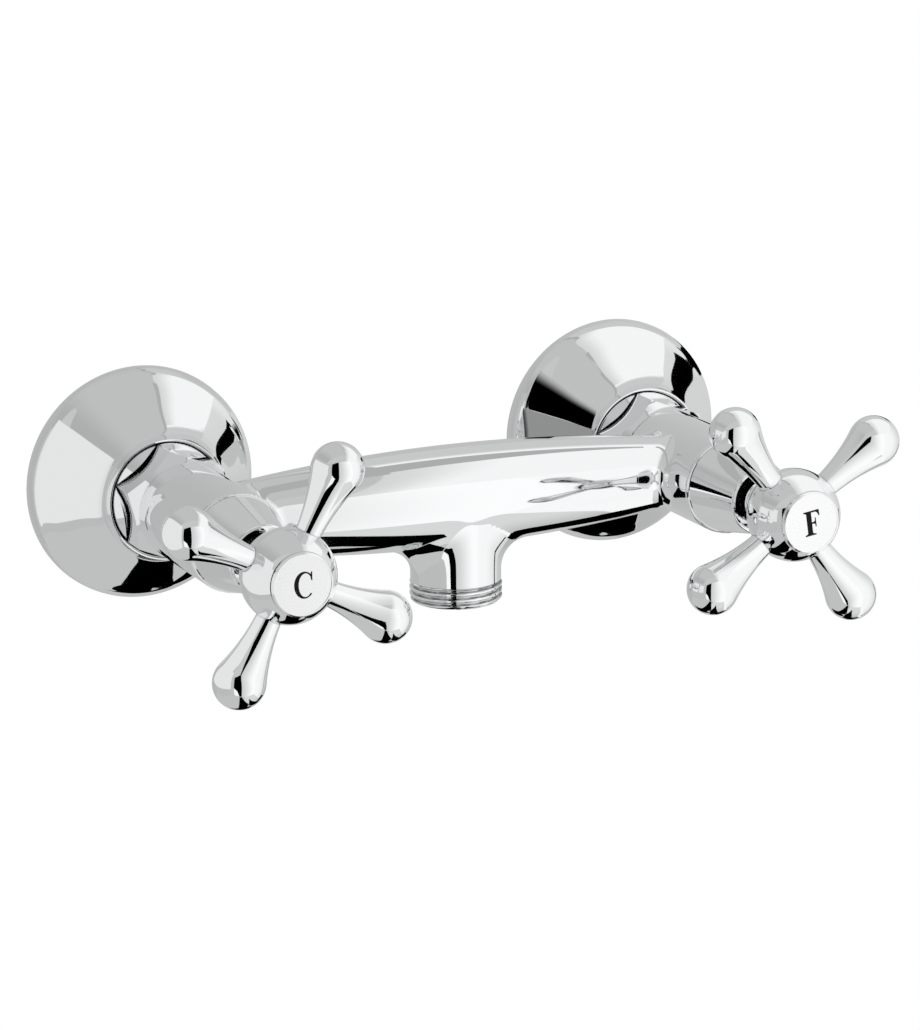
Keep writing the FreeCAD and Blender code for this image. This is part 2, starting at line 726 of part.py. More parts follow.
def washer_screw(side):
    body = new_body(side["name"] + "_washer_screw")
    head = f"({WASHER_REAR} - washer_screw_head_thick)"
    tip = f"({JUMPER_REAR} + washer_screw_grip_length)"
    turn(body, "Revolution", "Screw", [
        line_to("0", head),
        line_to("washer_screw_head_radius", head),
        line_to("washer_screw_head_radius", WASHER_REAR),
        line_to("washer_screw_radius", WASHER_REAR),
        line_to("washer_screw_radius", tip),
        line_to("0", tip),
    ])
    place(body, side)


def cone_radius(station):
    """The cover's outer radius at a station on its cone."""
    start = f"({BODY_FRONT} + cover_band_length)"
    wide = "(cover_base_radius - cover_band_step)"
    return f"({wide} - ({wide} - cover_lip_radius) * ({station} - {start}) / ({COVER_FRONT} - {start}))"


def bonnet_cover(side):
    body = new_body(side["name"] + "_bonnet_cover")
    band = f"({BODY_FRONT} + cover_band_length)"
    lip = f"({COVER_FRONT} - cover_lip_round)"
    web_front = f"({COVER_FRONT} - cover_web_depth)"
    web_rear = f"({web_front} - cover_web_thick)"
    hole = "(headwork_barrel_radius + thread_clearance)"
    turn(body, "Revolution", "Cone", [
        line_to("cover_base_radius - cover_wall", BODY_FRONT),
        line_to("cover_base_radius", BODY_FRONT),
        line_to("cover_base_radius", band),
        line_to("cover_base_radius - cover_band_step", band),
        line_to(cone_radius(lip), lip),
        arc_to(f"{cone_radius(lip)} - cover_lip_round", COVER_FRONT, "cover_lip_round"),
        line_to("cover_mouth_radius", COVER_FRONT),
        line_to("cover_mouth_radius", web_front),
        line_to(hole, web_front),
        line_to(hole, web_rear),
        line_to(f"{cone_radius(web_rear)} - cover_wall", web_rear),
    ])
    place(body, side)


def handle_hub(side):
    body = new_body(side["name"] + "_handle_hub")
    turn(body, "Revolution", "Ball", [
        line_to("0", HUB_REAR),
        line_to("hub_neck_radius", HUB_REAR),
        line_to("hub_neck_radius", f"~{CROSS_PLANE} - sqrt(hub_radius^2 - hub_neck_radius^2)"),
        arc_to("~sqrt(hub_radius^2 - hub_face_length^2)", HUB_FACE, "hub_radius", centre=("0", CROSS_PLANE)),
        line_to("0", HUB_FACE),
    ])

    def neck_edge(point):
        from_axis = (point.x ** 2 + point.y ** 2) ** 0.5
        return near(from_axis, value("hub_neck_radius")) and not near(point.z, value(HUB_REAR))

    round_edges(body, "Fillet", "NeckBlend", neck_edge, "hub_neck_round")
    cylinder(body, "Subtractive", "StemBore", "stem_radius + hub_stem_clearance", "hub_neck_lap_length",
             lift=("0", "0", HUB_REAR))
    square = square_sketch(body, "SocketProfile", "square_flats + 2 * square_clearance", SHOULDER)
    extrude(body, "Pocket", "Socket", square, f"{SOCKET_END} - {SHOULDER}", reverse=True)
    cylinder(body, "Subtractive", "ScrewHole", "handle_screw_radius + handle_screw_hole_clearance",
             f"{RECESS_FLOOR} - {SHOULDER}", lift=("0", "0", SHOULDER))
    cylinder(body, "Subtractive", "Recess", "hub_recess_radius", "hub_recess_depth + cut_overrun",
             lift=("0", "0", RECESS_FLOOR))
    seat_wall = "(arm_root_radius + arm_root_clearance)"
    hole_wall = "(arm_stub_radius + arm_root_clearance)"
    seat = turn(body, "Groove", "ArmSeat", [
        line_to("arm_seat_radius - arm_hole_depth", "0"),
        line_to("hub_radius + cut_overrun", "0"),
        line_to("hub_radius + cut_overrun", seat_wall),
        line_to("arm_seat_radius", seat_wall),
        line_to("arm_seat_radius", hole_wall),
        line_to("arm_seat_radius - arm_hole_depth", hole_wall),
    ], axis="H_Axis", lift=("0", CROSS_PLANE, "0"))
    doc.recompute()
    pattern = body.newObject("PartDesign::PolarPattern", "ArmSeats")
    pattern.Originals = [seat]
    pattern.Axis = (origin_of(body, "Z_Axis"), [""])
    pattern.Angle = FULL_TURN
    pattern.Occurrences = ARM_COUNT
    body.Tip = pattern
    place(body, side, side["turn"])


def handle_arm(side, number):
    """One drop-shaped arm, drawn with its own Z axis running out from the hub."""
    body = new_body(f"{side['name']}_handle_arm_{number + 1}")
    stub = "(arm_seat_radius - arm_stub_length)"
    # first guess of where the flare runs into the ball, as shares of the ball's radius
    joint_out_share = 0.94
    joint_back_share = 0.34
    turn(body, "Revolution", "Drop", [
        line_to("0", stub),
        line_to("arm_stub_radius", stub),
        line_to("arm_stub_radius", "arm_seat_radius"),
        line_to("arm_root_radius", "arm_seat_radius"),
        arc_to(f"~arm_ball_radius * {joint_out_share}", f"~arm_reach - arm_ball_radius * {joint_back_share}",
               "arm_flare_round", side=-1),
        arc_to("0", "~arm_reach + arm_ball_radius", "arm_ball_radius", smooth=True,
               centre=("0", "arm_reach")),
    ])
    outward = Rotation(Vector(1, 0, 0), FULL_TURN / 4)
    spin = Rotation(Vector(0, 0, 1), value(side["turn"]) + FULL_TURN * number / ARM_COUNT)
    aside = Rotation(Vector(0, 1, 0), FULL_TURN / 4)
    body.Placement = Placement(Vector(0, 0, 0), outward.multiply(spin).multiply(aside))
    bind(body, "Placement.Base.x", f"{side['sign']} * inlet_spacing / 2")
    bind(body, "Placement.Base.y", f"-{CROSS_PLANE}")


def handle_screw(side):
    body = new_body(side["name"] + "_handle_screw")
    tip = f"({SQUARE_END} - handle_screw_grip_length)"
    top = f"({RECESS_FLOOR} + handle_screw_head_thick)"
    turn(body, "Revolution", "Screw", [
        line_to("0", tip),
        line_to("handle_screw_radius", tip),
        line_to("handle_screw_radius", RECESS_FLOOR),
        line_to("handle_screw_head_radius", RECESS_FLOOR),
        line_to("handle_screw_head_radius", top),
        line_to("0", top),
    ])
    hexagon(body, "Subtractive", "Key", "handle_screw_key_flats", f"{top} - handle_screw_key_depth",
            "handle_screw_key_depth + cut_overrun")
    place(body, side, side["turn"])


def index_cap(side):
    body = new_body(side["name"] + "_index_cap")
    plug = f"({HUB_FACE} - cap_plug_length)"
    top = f"({HUB_FACE} + cap_thick)"
    turn(body, "Revolution", "Cap", [
        line_to("0", plug),
        line_to("cap_plug_radius", plug),
        line_to("cap_plug_radius", HUB_FACE),
        line_to("cap_radius", HUB_FACE),
        line_to("cap_radius", f"{top} - cap_bevel"),
        line_to("cap_radius - cap_bevel", top),
        line_to("cap_radius - cap_bevel - cap_rim_width", top),
        line_to("cap_radius - cap_bevel - cap_rim_width", f"{top} - cap_dish_depth"),
        line_to("0", f"{top} - cap_dish_depth"),
    ])
    place(body, side, side["turn"])


SIDES = (
    {"name": "hot", "sign": -1, "turn": "hot_handle_angle"},
    {"name": "cold", "sign": 1, "turn": "cold_handle_angle"},
)
SIDE_PIECES = (
    wall_union, escutcheon, union_nut, union_gasket, inlet_bush, headwork_body, headwork_washer,
    bonnet_cover, spindle, spindle_orings, spindle_clip, jumper, seat_washer, washer_screw,
    handle_hub, handle_screw, index_cap,
)

mixer_body()
for mixer_side in SIDES:
    for make_piece in SIDE_PIECES:
        make_piece(mixer_side)
    for arm_number in range(ARM_COUNT):
        handle_arm(mixer_side, arm_number)
doc.recompute()

failed = [item.Name for item in doc.Objects if "Invalid" in item.State or "Error" in item.State]
if failed:
    raise RuntimeError("features that failed: " + ", ".join(failed))
for piece in pieces:
    if piece.Shape.isNull() or not piece.Shape.isValid():
        raise RuntimeError("bad shape: " + piece.Label)

os.makedirs("parts", exist_ok=True)
for piece in pieces:
    piece.Shape.exportStep(f"parts/{piece.Label}.step")
    print(piece.Label, len(piece.Shape.Solids), round(piece.Shape.Volume, 2))
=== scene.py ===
import json
import math
import bpy
import bmesh
import numpy as np
from mathutils import Matrix, Vector

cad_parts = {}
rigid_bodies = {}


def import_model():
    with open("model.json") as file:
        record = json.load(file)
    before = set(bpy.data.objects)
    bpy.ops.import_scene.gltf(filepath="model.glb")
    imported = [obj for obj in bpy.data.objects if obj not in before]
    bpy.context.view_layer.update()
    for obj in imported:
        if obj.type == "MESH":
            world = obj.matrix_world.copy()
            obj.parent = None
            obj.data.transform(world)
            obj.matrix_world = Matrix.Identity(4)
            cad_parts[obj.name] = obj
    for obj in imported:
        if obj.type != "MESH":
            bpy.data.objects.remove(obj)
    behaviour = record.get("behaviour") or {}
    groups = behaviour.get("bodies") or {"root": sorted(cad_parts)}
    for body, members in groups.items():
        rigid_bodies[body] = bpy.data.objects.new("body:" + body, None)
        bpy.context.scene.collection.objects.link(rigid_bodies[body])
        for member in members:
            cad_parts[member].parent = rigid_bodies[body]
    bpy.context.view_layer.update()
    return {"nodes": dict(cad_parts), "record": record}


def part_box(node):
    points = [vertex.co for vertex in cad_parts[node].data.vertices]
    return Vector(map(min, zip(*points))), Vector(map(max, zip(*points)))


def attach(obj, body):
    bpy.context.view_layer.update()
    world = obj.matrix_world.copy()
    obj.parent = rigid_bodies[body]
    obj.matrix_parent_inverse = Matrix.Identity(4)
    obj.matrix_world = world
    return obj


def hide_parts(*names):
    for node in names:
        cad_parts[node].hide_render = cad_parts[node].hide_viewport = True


# Looks of a two-handle wall shower mixer: polished chrome in a soft studio. Lengths are in metres,
# the wall is the plane y = 0, the front looks towards -Y and +Z is up.
for leftover in list(bpy.data.objects):
    bpy.data.objects.remove(leftover)

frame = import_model()
nodes = frame["nodes"]
scene = bpy.context.scene
MM = 0.001


# Materials, all made from procedural nodes.

NOISE_LOW, NOISE_HIGH = 0.3, 0.7  # most of a noise texture lies between these


def srgb(level):
    """The linear light of a grey level from 0 to 255."""
    share = level / 255
    return share / 12.92 if share <= 0.04045 else ((share + 0.055) / 1.055) ** 2.4


def grey(linear):
    return (linear, linear, linear, 1.0)


class Finish:
    """One Principled material with object coordinates to build on."""

    def __init__(self, name, metallic):
        self.material = bpy.data.materials.new(name)
        self.material.use_nodes = True
        self.nodes = self.material.node_tree.nodes
        self.links = self.material.node_tree.links
        self.shader = self.nodes["Principled BSDF"]
        self.shader.inputs["Metallic"].default_value = metallic
        self.place = self.nodes.new("ShaderNodeTexCoord").outputs["Object"]

    def noise(self, scale, detail):
        node = self.nodes.new("ShaderNodeTexNoise")
        node.inputs["Scale"].default_value = scale
        node.inputs["Detail"].default_value = detail
        self.links.new(self.place, node.inputs["Vector"])
        return node.outputs["Fac"]

    def spread(self, source, low, high, socket):
        """Carries a noise onto a socket, spread between two values."""
        node = self.nodes.new("ShaderNodeMapRange")
        node.inputs["From Min"].default_value = NOISE_LOW
        node.inputs["From Max"].default_value = NOISE_HIGH
        node.inputs["To Min"].default_value = low
        node.inputs["To Max"].default_value = high
        self.links.new(source, node.inputs["Value"])
        self.links.new(node.outputs["Result"], self.shader.inputs[socket])

    def tint(self, source, first, second):
        """Mixes two base colours by a noise."""
        node = self.nodes.new("ShaderNodeMix")
        node.data_type = "RGBA"
        self.links.new(source, node.inputs["Factor"])
        node.inputs["A"].default_value = (*first, 1.0)
        node.inputs["B"].default_value = (*second, 1.0)
        self.links.new(node.outputs["Result"], self.shader.inputs["Base Color"])

    def paint_gap_shade(self, reach, low, high, floor):
        """Painted shade: darkens the base colour in gaps and grooves narrower than a reach, where shade
        falls.
        """
        shade = self.nodes.new("ShaderNodeAmbientOcclusion")
        shade.inputs["Distance"].default_value = reach
        spread = self.nodes.new("ShaderNodeMapRange")
        spread.inputs["From Min"].default_value = low
        spread.inputs["From Max"].default_value = high
        spread.inputs["To Min"].default_value = floor
        self.links.new(shade.outputs["AO"], spread.inputs["Value"])
        mix = self.nodes.new("ShaderNodeMix")
        mix.data_type = "RGBA"
        mix.blend_type = "MULTIPLY"
        mix.inputs["Factor"].default_value = 1.0
        self.links.new(self.shader.inputs["Base Color"].links[0].from_socket, mix.inputs["A"])
        self.links.new(spread.outputs["Result"], mix.inputs["B"])
        self.links.new(mix.outputs["Result"], self.shader.inputs["Base Color"])

    def relief(self, source, strength, depth):
        """Fine unevenness, too small to be modelled."""
        node = self.nodes.new("ShaderNodeBump")
        node.inputs["Strength"].default_value = strength
        node.inputs["Distance"].default_value = depth
        self.links.new(source, node.inputs["Height"])
        self.links.new(node.outputs["Normal"], self.shader.inputs["Normal"])


def chrome_finish():
    """Polished plating: clean mirror, faint smears and the slight swell of a hand-buffed casting, with
    painted shade darkening its gaps, grooves and joints.
    """
    finish = Finish("polished_chrome", metallic=1.0)
    finish.spread(finish.noise(scale=34.0, detail=4.0), low=0.03, high=0.05, socket="Roughness")
    finish.tint(finish.noise(scale=21.0, detail=2.0), (0.916, 0.934, 0.938), (0.936, 0.951, 0.954))
    # painted shade: the base colour is darkened in gaps, grooves and joints, where shade falls
    finish.paint_gap_shade(reach=0.0012, low=0.35, high=0.8, floor=0.2)
    finish.relief(finish.noise(scale=48.0, detail=1.0), strength=0.02, depth=0.00004)
    return finish.material


def cap_finish():
    """Satin plated cap, brushed lightly so that it shows the front light as one pale field."""
    finish = Finish("satin_cap", metallic=0.9)
    finish.spread(finish.noise(scale=260.0, detail=3.0), low=0.13, high=0.2, socket="Roughness")
    finish.tint(finish.noise(scale=90.0, detail=3.0), (0.955, 0.958, 0.96), (0.97, 0.972, 0.975))
    finish.relief(finish.noise(scale=900.0, detail=2.0), strength=0.03, depth=0.00003)
    return finish.material


def ink_finish():
    """Black print of the letters."""
    finish = Finish("black_ink", metallic=0.0)
    finish.shader.inputs["Specular IOR Level"].default_value = 0.1
    finish.spread(finish.noise(scale=800.0, detail=3.0), low=0.35, high=0.5, socket="Roughness")
    finish.tint(finish.noise(scale=700.0, detail=3.0), (0.006, 0.006, 0.007), (0.012, 0.012, 0.013))
    return finish.material


def brass_finish():
    """Bare turned brass of the inner pieces."""
    finish = Finish("turned_brass", metallic=1.0)
    finish.spread(finish.noise(scale=180.0, detail=5.0), low=0.2, high=0.36, socket="Roughness")
    finish.tint(finish.noise(scale=60.0, detail=4.0), (0.74, 0.53, 0.25), (0.83, 0.63, 0.33))
    finish.relief(finish.noise(scale=1400.0, detail=2.0), strength=0.08, depth=0.00005)
    return finish.material


def rubber_finish():
    """Washers, gaskets and sealing rings."""
    finish = Finish("black_rubber", metallic=0.0)
    finish.spread(finish.noise(scale=500.0, detail=4.0), low=0.55, high=0.75, socket="Roughness")
    finish.tint(finish.noise(scale=300.0, detail=4.0), (0.014, 0.014, 0.015), (0.03, 0.03, 0.031))
    finish.relief(finish.noise(scale=2500.0, detail=3.0), strength=0.15, depth=0.00005)
    return finish.material


def steel_finish():
    """Bare screws and clips."""
    finish = Finish("plain_steel", metallic=1.0)
    finish.spread(finish.noise(scale=400.0, detail=4.0), low=0.22, high=0.34, socket="Roughness")
    finish.tint(finish.noise(scale=150.0, detail=3.0), (0.6, 0.6, 0.61), (0.68, 0.68, 0.69))
    finish.relief(finish.noise(scale=2000.0, detail=2.0), strength=0.06, depth=0.00005)
    return finish.material


FINISHES = {
    "chrome": chrome_finish(),
    "cap": cap_finish(),
    "letter": ink_finish(),
    "brass": brass_finish(),
    "rubber": rubber_finish(),
    "steel": steel_finish(),
}

for part in frame["record"]["subparts"]:
    node_mesh = nodes[part["node"]].data
    node_mesh.materials.clear()
    node_mesh.materials.append(FINISHES[part["material_slot"]])


def add_piece(name, mesh, body, slot):
    """A visible piece that rides on a body, with its slot's finish."""
    mesh.materials.clear()
    mesh.materials.append(FINISHES[slot])
    piece = bpy.data.objects.new(name, mesh)
    scene.collection.objects.link(piece)
    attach(piece, body)
    return piece


def shaped(name, points, faces, corner_slopes):
    """A smooth mesh with its own slope at each face corner, without loose points."""
    mesh = bpy.data.meshes.new(name)
    mesh.from_pydata([tuple(p) for p in points], [], faces)
    mesh.polygons.foreach_set("use_smooth", [True] * len(faces))
    mesh.normals_split_custom_set([tuple(n) for n in corner_slopes])
    loose = bmesh.new()
    loose.from_mesh(mesh)
    bmesh.ops.delete(loose, geom=[v for v in loose.verts if not v.link_faces], context="VERTS")
    loose.to_mesh(mesh)
    loose.free()
    return mesh


# The casting's outside as it is drawn: two straight arms, a lens-shaped bridge and the outlet neck,
# joined by rolled blends. The copy is cut finer there, and its slopes run softly in and out of the
# blends, as hand polishing leaves them.

ARM_SPREAD = 75.0 * MM
ARM_RADIUS = 14.0 * MM
BRIDGE_LINE = 55.0 * MM
BRIDGE_MID = 14.5 * MM
BRIDGE_END = 9.0 * MM
NECK_RADIUS = 12.95 * MM
ARM_BLEND = 3.6 * MM
OUTLET_BLEND = 9.0 * MM
ARM_SOFTENING = 2.6 * MM
OUTLET_SOFTENING = 4.5 * MM
CLOSE = 0.02 * MM
FAR = 1.0
FINE = 1.4 * MM
REFINE_STEPS = 6
ROLL_STEPS = 8
SHARP_ANGLE = math.radians(30)
WELD = CLOSE / 10
SAME_SIDE = 0.5  # a corner's slope gives way to the skin's where their cosine is above this


def split(vectors):
    """Lengths and directions."""
    lengths = np.linalg.norm(vectors, axis=1)
    return lengths, vectors / lengths[:, None]


def dot(first, second):
    return (first * second).sum(axis=1)


def arm_gap(points):
    """Distance from the nearer arm's side, and the direction away from it."""
    across = points * (1, 0, 1)
    across[:, 0] -= np.copysign(ARM_SPREAD, points[:, 0])
    reach, away = split(across)
    return reach - ARM_RADIUS, away


def neck_gap(points):
    """The neck hangs from the bridge: points above its axis are far from it."""
    reach, away = split((points + (0, BRIDGE_LINE, 0)) * (1, 1, 0))
    return np.where(points[:, 2] > 0, FAR, reach - NECK_RADIUS), away


def bridge_gap(points):
    """The bridge is a flat arc turned round its long axis."""
    rise = BRIDGE_MID - BRIDGE_END
    arc_radius = (ARM_SPREAD ** 2 + rise ** 2) / (2 * rise)
    around = (points + (0, BRIDGE_LINE, 0)) * (0, 1, 1)
    spread = np.linalg.norm(around, axis=1)
    from_centre = around * (1 + (arc_radius - BRIDGE_MID) / spread)[:, None]
    from_centre[:, 0] = points[:, 0]
    reach, away = split(from_centre)
    return reach - arc_radius, away


PLAIN = (arm_gap, neck_gap, bridge_gap)
BLENDS = ((arm_gap, ARM_BLEND, ARM_SOFTENING), (neck_gap, OUTLET_BLEND, OUTLET_SOFTENING))


def rolling_ball(points, start, gap, radius):
    """Where a ball that rolls along a surface and the bridge lies when it is beside each point."""
    centre = start.copy()
    for _ in range(ROLL_STEPS):
        first, first_away = gap(centre)
        second, second_away = bridge_gap(centre)
        along = split(np.cross(first_away, second_away))[1]
        wanted = np.stack([radius - first, radius - second, dot(points - centre, along)], axis=1)
        ways = np.stack([first_away, second_away, along], axis=1)
        centre += np.linalg.solve(ways, wanted[..., None])[..., 0]
    return centre


def in_blend(points, gap, radius):
    """Which points lie between a surface and the bridge, within a ball's radius of both."""
    beside, above = gap(points)[0], bridge_gap(points)[0]
    return (beside > CLOSE) & (above > CLOSE) & (beside < radius) & (above < radius)


def on_skin(points):
    """Which points lie on the outside as drawn."""
    plain = [np.abs(gap(points)[0]) < CLOSE for gap in PLAIN]
    return np.any(plain + [in_blend(points, gap, radius) for gap, radius, _ in BLENDS], axis=0)


def ball_start(points, gap, radius):
    """A first guess of the ball's centre beside each point."""
    return points + split(gap(points)[1] + bridge_gap(points)[1])[1] * radius


def settled(points):
    """Points near the skin, moved onto it."""
    gaps = [gap(points) for gap in PLAIN]
    nearest = np.argmin([np.abs(distance) for distance, _ in gaps], axis=0)
    moved = points.copy()
    for k, (distance, away) in enumerate(gaps):
        rows = nearest == k
        moved[rows] -= (distance[:, None] * away)[rows]
    for gap, radius, _ in BLENDS:
        rows = in_blend(points, gap, radius)
        centre = rolling_ball(points[rows], ball_start(points[rows], gap, radius), gap, radius)
        moved[rows] = centre - split(centre - points[rows])[1] * radius
    return moved


def ramp_sum(length, span):
    """Running sum of a climb from 0 to 1 over a span."""
    climb = np.clip(length, 0, span)
    return climb * climb / (2 * span) + np.maximum(length - span, 0)


def turned(vectors, axes, angles):
    """Vectors turned round axes."""
    along = axes * dot(axes, vectors)[:, None]
    across = np.cross(axes, vectors)
    return vectors * np.cos(angles) + across * np.sin(angles) + along * (1 - np.cos(angles))


def skin_slopes(points):
    """Outward slopes of points on the skin."""
    gaps = [gap(points) for gap in PLAIN]
    nearest = np.argmin([np.abs(distance) for distance, _ in gaps], axis=0)
    slopes = np.choose(nearest[:, None], [away for _, away in gaps])
    for gap, radius, softening in BLENDS:
        rolled = in_blend(points, gap, radius)
        room = 2 * radius + softening
        beside, above = gap(points)[0], bridge_gap(points)[0]
        near = (beside > -CLOSE) & (above > -CLOSE) & (beside < room) & (above < room)
        rows = np.flatnonzero(near)
        here, rolled = points[rows], rolled[rows]
        centre = rolling_ball(here, ball_start(here, gap, radius), gap, radius)
        towards = split(centre - here)[1]
        slopes[rows[rolled]] = towards[rolled]
        first, second = gap(centre)[1], bridge_gap(centre)[1]
        bend = np.arccos(np.clip(dot(first, second), -1, 1))
        span = radius * bend
        from_first = np.linalg.norm(centre - radius * first - here, axis=1)
        from_second = np.linalg.norm(centre - radius * second - here, axis=1)
        place = radius * np.arccos(np.clip(dot(first, towards), -1, 1))
        off_ball = np.where(above[rows] > beside[rows], -from_first, span + from_second)
        place = np.where(rolled, place, off_ball)
        soft = ramp_sum(place + softening, span) - ramp_sum(place - softening, span)
        soft /= 2 * softening
        turn = ((soft - np.clip(place / span, 0, 1)) * bend)[:, None]
        new = turned(slopes[rows], split(np.cross(first, second))[1], turn)
        touched = rolled | (np.minimum(from_first, from_second) < softening)
        touched &= np.isfinite(new).all(axis=1)
        slopes[rows[touched]] = split(new[touched])[1]
    return slopes


def polished(points, faces):
    """The casting with its skin cut finer: points, faces and the slope at each face corner."""
    cast = bmesh.new()
    made = [cast.verts.new(point) for point in points]
    for face in faces:
        cast.faces.new([made[k] for k in face])
    bmesh.ops.remove_doubles(cast, verts=cast.verts, dist=WELD)
    bmesh.ops.delete(cast, geom=[v for v in cast.verts if not v.link_faces], context="VERTS")
    for _ in range(REFINE_STEPS):
        cast.verts.index_update()
        skin = on_skin(np.array([v.co for v in cast.verts]))
        long = [e for e in cast.edges if e.calc_length() > FINE and len(e.link_faces) == 2
                and all(skin[v.index] for f in e.link_faces for v in f.verts)]
        if not long:
            break
        cut = bmesh.ops.subdivide_edges(cast, edges=long, cuts=1)
        added = [v for v in cut["geom_inner"] if isinstance(v, bmesh.types.BMVert)]
        for vert, place in zip(added, settled(np.array([v.co for v in added]))):
            vert.co = place
        bmesh.ops.triangulate(cast, faces=[f for f in cast.faces if len(f.verts) > 3])
    mesh = bpy.data.meshes.new("casting")
    cast.to_mesh(mesh)
    cast.free()
    mesh.polygons.foreach_set("use_smooth", [True] * len(mesh.polygons))
    mesh.set_sharp_from_angle(angle=SHARP_ANGLE)
    points = np.array([v.co for v in mesh.vertices])
    faces = [list(p.vertices) for p in mesh.polygons]
    corners = np.concatenate(faces)
    slopes = np.array([tuple(n.vector) for n in mesh.corner_normals])
    skin = on_skin(points)
    exact = np.zeros_like(points)
    exact[skin] = skin_slopes(points[skin])
    swap = skin[corners] & (dot(exact[corners], slopes) > SAME_SIDE)
    slopes[swap] = exact[corners][swap]
    bpy.data.meshes.remove(mesh)
    return points, faces, list(slopes)


# The body's outlet with its thread cut in. The casting is kept as drawn but for the plain outside of
# the spigot, and a helical thread of the same outer radius takes that place.

THREAD_PITCH = 1.814 * MM
THREAD_DEPTH = 1.0 * MM
LEAD_LENGTH = 1.7 * MM
RUN_OUT = 0.8 * MM
FLANK_MIDDLE, FLANK_SWING = 0.5, 0.72  # a clipped wave, so that crests and roots are flat
TURN_STEPS = 160
STEPS_PER_PITCH = 14
SLOPE_STEP = 0.01 * MM
ANGLE_DIGITS = 5


def thread_radius(angle, height, top, bottom, crest):
    """Radius of the thread's flank at an angle and a height, with run-out above and lead-in below."""
    phase = 2 * math.pi * height / THREAD_PITCH - angle
    wave = np.clip(FLANK_MIDDLE + FLANK_SWING * np.cos(phase), 0.0, 1.0)
    radius = crest - THREAD_DEPTH * (1 - wave)
    blend = np.clip((top - height) / RUN_OUT, 0.0, 1.0)
    radius = NECK_RADIUS + (radius - NECK_RADIUS) * blend * blend * (3 - 2 * blend)
    lead = 1 - np.clip((height - bottom) / LEAD_LENGTH, 0.0, 1.0)
    return np.minimum(radius, crest - LEAD_LENGTH * (1 - np.sqrt(1 - lead * lead)))


def strip(first, second, angles):
    """Triangles between two rings of points, each sorted by angle."""
    faces = []
    i = j = 0
    while i < len(first) or j < len(second):
        ahead_i = angles[first[i % len(first)]] + 2 * math.pi * (i // len(first))
        ahead_j = angles[second[j % len(second)]] + 2 * math.pi * (j // len(second))
        a, b = first[i % len(first)], second[j % len(second)]
        if j >= len(second) or (i < len(first) and ahead_i <= ahead_j):
            faces.append((a, first[(i + 1) % len(first)], b))
            i += 1
        else:
            faces.append((a, second[(j + 1) % len(second)], b))
            j += 1
    return faces


def thread_sheet(centre, crest, top, bottom):
    """The thread as rings of points from the neck down to the end, and their slopes."""
    heights = np.linspace(top, bottom, int((top - bottom) / THREAD_PITCH * STEPS_PER_PITCH))[1:-1]
    turns = np.arange(TURN_STEPS) * 2 * math.pi / TURN_STEPS - math.pi
    turn, height = np.meshgrid(turns, heights)
    ends = (top, bottom, crest)
    radius = thread_radius(turn, height, *ends)
    slope = (thread_radius(turn, height + SLOPE_STEP, *ends)
             - thread_radius(turn, height - SLOPE_STEP, *ends)) / (2 * SLOPE_STEP)
    twist = (thread_radius(turn + SLOPE_STEP, height, *ends)
             - thread_radius(turn - SLOPE_STEP, height, *ends)) / (2 * SLOPE_STEP) / radius
    across, along = np.cos(turn), np.sin(turn)
    sheet = np.stack([centre[0] + radius * across, centre[1] + radius * along, height], axis=-1)
    slopes = np.stack([across + twist * along, along - twist * across, -slope], axis=-1)
    return sheet.reshape(-1, 3), split(slopes.reshape(-1, 3))[1]


def threaded_body():
    """The casting with its thread, as one mesh."""
    source = nodes["mixer_body"].data
    mount = next(m for m in frame["record"]["mounts"] if m["name"] == "outlet_thread")
    centre = np.array(mount["pos_m"])
    crest = mount["dims"]["r_mm"] * MM
    top = centre[2] + mount["dims"]["length_mm"] * MM / 2
    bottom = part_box("mixer_body")[0][2]

    # the casting without the plain outside of its spigot
    points = np.empty(len(source.vertices) * 3)
    source.vertices.foreach_get("co", points)
    points = points.reshape(-1, 3)
    lead_radius = crest - LEAD_LENGTH
    out = np.hypot(points[:, 0] - centre[0], points[:, 1] - centre[1])
    outside = (points[:, 2] < top + CLOSE) & (out > lead_radius - CLOSE)
    on_end = points[:, 2] < bottom + CLOSE
    kept = [list(p.vertices) for p in source.polygons]
    kept = [ring for ring in kept if not outside[ring].all() or on_end[ring].all()]
    points, faces, corner_normals = polished(points, kept)
    out = np.hypot(points[:, 0] - centre[0], points[:, 1] - centre[1])
    on_end = points[:, 2] < bottom + CLOSE

    sheet, sheet_slopes = thread_sheet(centre, crest, top, bottom)
    first = len(points)
    points = np.vstack([points, sheet])
    angles = np.arctan2(points[:, 1] - centre[1], points[:, 0] - centre[0])
    rows = [list(range(k, k + TURN_STEPS)) for k in range(first, len(points), TURN_STEPS)]

    def add(face):
        """One more face, with the slope of the sheet, the end or the neck at its corners."""
        faces.append(face)
        for corner in face:
            across = (points[corner] - centre) * (1, 1, 0)
            if corner >= first:
                corner_normals.append(sheet_slopes[corner - first])
            elif on_end[corner]:
                corner_normals.append((0, 0, -1))
            else:
                corner_normals.append(across / np.linalg.norm(across))

    for upper, lower in zip(rows, rows[1:]):
        for k in range(TURN_STEPS):
            after = (k + 1) % TURN_STEPS
            add([upper[k], lower[k], lower[after], upper[after]])

    # the two edges left open in the casting are joined to the thread's first and last ring
    def edge(height, at_radius):
        """The casting's points on a ring, sorted by angle."""
        level = np.abs(points[:first, 2] - height) < CLOSE
        found = np.flatnonzero(level & (np.abs(out - at_radius) < CLOSE))
        order = {}
        for index in found:
            order.setdefault(round(angles[index], ANGLE_DIGITS), int(index))
        return [order[key] for key in sorted(order)]

    for face in strip(edge(top, NECK_RADIUS), rows[0], angles):
        add(list(face)[::-1])
    for face in strip(rows[-1], edge(bottom, lead_radius), angles):
        add(list(face)[::-1])

    return shaped("mixer_body_threaded", points, faces, corner_normals)


body = add_piece("mixer_body_threaded", threaded_body(), "fixed", "chrome")
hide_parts("mixer_body")


